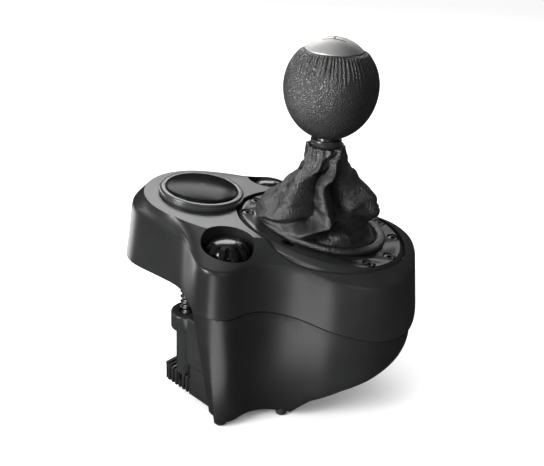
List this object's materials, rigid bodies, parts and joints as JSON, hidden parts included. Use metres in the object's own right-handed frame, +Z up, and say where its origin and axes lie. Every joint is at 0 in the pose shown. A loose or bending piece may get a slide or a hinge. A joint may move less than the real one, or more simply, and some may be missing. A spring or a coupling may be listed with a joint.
{
  "type": "sim racing gear shifter",
  "caption": "Table-clamped H-pattern gear shifter for driving games, with a leather ball knob, a leather boot and two screw clamps under a round lobe.",
  "frame": {"origin": "on the ground that the feet stand on, under the middle of the part's box", "axes": "+X to the right seen from the driver, +Y away from the driver over the table, +Z up"},
  "size_m": [0.139, 0.1732, 0.2095],
  "materials": {
    "shell_plastic": "satin black moulded plastic with a fine grain",
    "plate_plastic": "satin black moulded plastic",
    "ring_plastic": "satin black ring",
    "gloss_plastic": "high gloss black",
    "leather": "black pebbled leather",
    "satin_metal": "satin silver",
    "steel": "zinc plated steel",
    "brass": "turned brass",
    "gear_plastic": "natural acetal",
    "rubber": "black rubber",
    "board": "green circuit board"
  },
  "bodies": {
    "base": {"top_cover": "shell_plastic", "bottom_cover": "shell_plastic", "lobe_floor": "shell_plastic", "emblem_ring": "ring_plastic", "emblem_dome": "gloss_plastic", "boot_plate": "plate_plastic", "plate_screws": "steel", "boot_hem": "leather", "leather_boot": "leather", "fore_aft_sensor": "plate_plastic", "chassis": "steel", "gimbal_bushes": "brass", "gate_plate": "gear_plastic", "chassis_screws": "steel", "circuit_board": "board", "cable_socket": "plate_plastic", "rig_inserts": "brass", "feet": "rubber", "screw_bush_left": "gear_plastic", "screw_bush_right": "gear_plastic", "idler_pin_left": "steel", "idler_pin_right": "steel"},
    "gimbal": {"gimbal_ring": "gear_plastic", "gimbal_trunnions": "steel", "side_sensor": "plate_plastic"},
    "carrier": {"lever_carrier": "gear_plastic", "reverse_spring": "steel"},
    "lever": {"lever_shaft": "steel", "knob_insert": "brass", "knob_core": "plate_plastic", "knob_leather": "leather", "knob_cap": "satin_metal", "knob_collar": "gloss_plastic"},
    "clamp_left": {"clamp_jaw_left": "plate_plastic", "jaw_nut_left": "brass", "clamp_adapter_left": "plate_plastic"},
    "screw_left": {"clamp_screw_left": "plate_plastic", "screw_gear_left": "gear_plastic"},
    "idler_left": {"idler_gear_left": "gear_plastic"},
    "knob_left": {"clamp_knob_left": "gloss_plastic", "knob_gear_left": "gear_plastic"},
    "clamp_right": {"clamp_jaw_right": "plate_plastic", "jaw_nut_right": "brass", "clamp_adapter_right": "plate_plastic"},
    "screw_right": {"clamp_screw_right": "plate_plastic", "screw_gear_right": "gear_plastic"},
    "idler_right": {"idler_gear_right": "gear_plastic"},
    "knob_right": {"clamp_knob_right": "gloss_plastic", "knob_gear_right": "gear_plastic"}
  },
  "joints": [
    {"name": "fore_aft", "type": "hinge", "parent": "base", "child": "gimbal", "pos_m": [0, -0.0266, 0.07], "axis": [1, 0, 0], "range_deg": [-12, 12]},
    {"name": "side_to_side", "type": "hinge", "parent": "gimbal", "child": "carrier", "pos_m": [0, -0.0266, 0.07], "axis": [0, 1, 0], "range_deg": [-10, 10], "stiffness_Nm_per_rad": 0.6},
    {"name": "push_down", "type": "slide", "parent": "carrier", "child": "lever", "axis": [0, 0, -1], "range_m": [0, 0.006], "stiffness_N_per_m": 900, "springref_m": -0.004, "deforming": ["reverse_spring", "leather_boot"]},
    {"name": "jaw_lift_left", "type": "slide", "parent": "base", "child": "clamp_left", "axis": [0, 0, 1], "range_m": [0, 0.018]},
    {"name": "screw_turn_left", "type": "hinge", "parent": "base", "child": "screw_left", "pos_m": [-0.033, 0.0391, 0.083], "axis": [0, 0, 1], "range_deg": [-1964, 0]},
    {"name": "idler_turn_left", "type": "hinge", "parent": "base", "child": "idler_left", "pos_m": [-0.03866, 0.02746, 0.083], "axis": [0, 0, 1], "range_deg": [0, 1964]},
    {"name": "knob_turn_left", "type": "hinge", "parent": "base", "child": "knob_left", "pos_m": [-0.0455, 0.0134, 0.1], "axis": [0, 0, 1], "range_deg": [-1387, 0]},
    {"name": "jaw_lift_right", "type": "slide", "parent": "base", "child": "clamp_right", "axis": [0, 0, 1], "range_m": [0, 0.018]},
    {"name": "screw_turn_right", "type": "hinge", "parent": "base", "child": "screw_right", "pos_m": [0.033, 0.0391, 0.083], "axis": [0, 0, 1], "range_deg": [-1964, 0]},
    {"name": "idler_turn_right", "type": "hinge", "parent": "base", "child": "idler_right", "pos_m": [0.03866, 0.02746, 0.083], "axis": [0, 0, 1], "range_deg": [0, 1964]},
    {"name": "knob_turn_right", "type": "hinge", "parent": "base", "child": "knob_right", "pos_m": [0.0455, 0.0134, 0.1], "axis": [0, 0, 1], "range_deg": [-1387, 0]}
  ],
  "couplings": [
    {"joint": "screw_turn_left", "follows": "jaw_lift_left", "rad_per_m": -1904},
    {"joint": "idler_turn_left", "follows": "jaw_lift_left", "rad_per_m": 1904},
    {"joint": "knob_turn_left", "follows": "jaw_lift_left", "rad_per_m": -1344},
    {"joint": "screw_turn_right", "follows": "jaw_lift_right", "rad_per_m": -1904},
    {"joint": "idler_turn_right", "follows": "jaw_lift_right", "rad_per_m": 1904},
    {"joint": "knob_turn_right", "follows": "jaw_lift_right", "rad_per_m": -1344}
  ]
}
